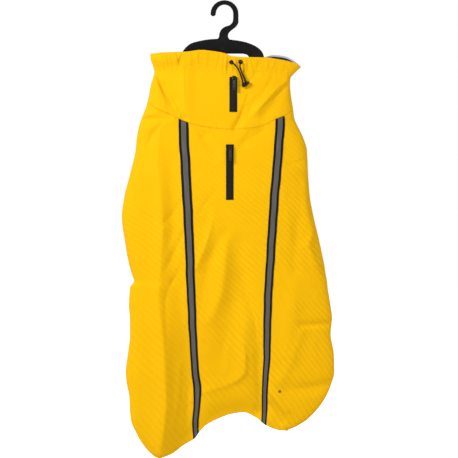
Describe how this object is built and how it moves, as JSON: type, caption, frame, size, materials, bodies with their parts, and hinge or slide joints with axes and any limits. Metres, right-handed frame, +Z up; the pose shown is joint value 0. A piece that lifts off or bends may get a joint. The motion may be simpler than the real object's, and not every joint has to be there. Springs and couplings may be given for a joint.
{
  "type": "dog raincoat on a hanger",
  "caption": "Dog raincoat with a high drawcord collar, a two-lobed cape back, two reflective tapes and two short zips, hanging flat on a small hanger.",
  "frame": {"origin": "inner top of the hanger's hook, where a rail bears", "axes": "+Z up; the coat's back, with its tapes and zips, faces -Y; +X to the right seen from there"},
  "size_m": [0.4454, 0.0664, 0.9605],
  "materials": {
    "shell": "coated waterproof cloth, faint sheen",
    "facing": "matt dark cloth",
    "reflective_tape": "grey retroreflective stripe with black edges",
    "zip_tape": "coated zip tape, closed",
    "zip_metal": "black enamel, semi-gloss",
    "eyelet": "black enamel",
    "cord": "braided elastic cord",
    "lock_plastic": "moulded, satin",
    "hanger_plastic": "moulded, satin"
  },
  "bodies": {
    "coat": {"collar": "shell", "collar_facing": "facing", "back_panel": "shell", "side_left": "shell", "side_right": "shell", "chest_panel": "shell", "belly_strap": "shell", "tape_left": "reflective_tape", "tape_right": "reflective_tape", "zip_collar": "zip_tape", "zip_collar_slider": "zip_metal", "zip_back": "zip_tape", "zip_back_slider": "zip_metal", "eyelet_left": "eyelet", "eyelet_right": "eyelet", "cord_left": "cord", "cord_right": "cord", "cord_lock": "lock_plastic", "hanger": "hanger_plastic"},
    "collar_pull": {"zip_collar_pull": "zip_metal"},
    "back_pull": {"zip_back_pull": "zip_metal"}
  },
  "joints": [
    {"name": "collar_pull_swing", "type": "hinge", "parent": "coat", "child": "collar_pull", "pos_m": [0.0204, -0.02619, -0.15584], "axis": [-1, 0, 0], "range_deg": [0, 150]},
    {"name": "back_pull_swing", "type": "hinge", "parent": "coat", "child": "back_pull", "pos_m": [0.0118, -0.03461, -0.30086], "axis": [-1, 0, 0], "range_deg": [0, 150]}
  ]
}
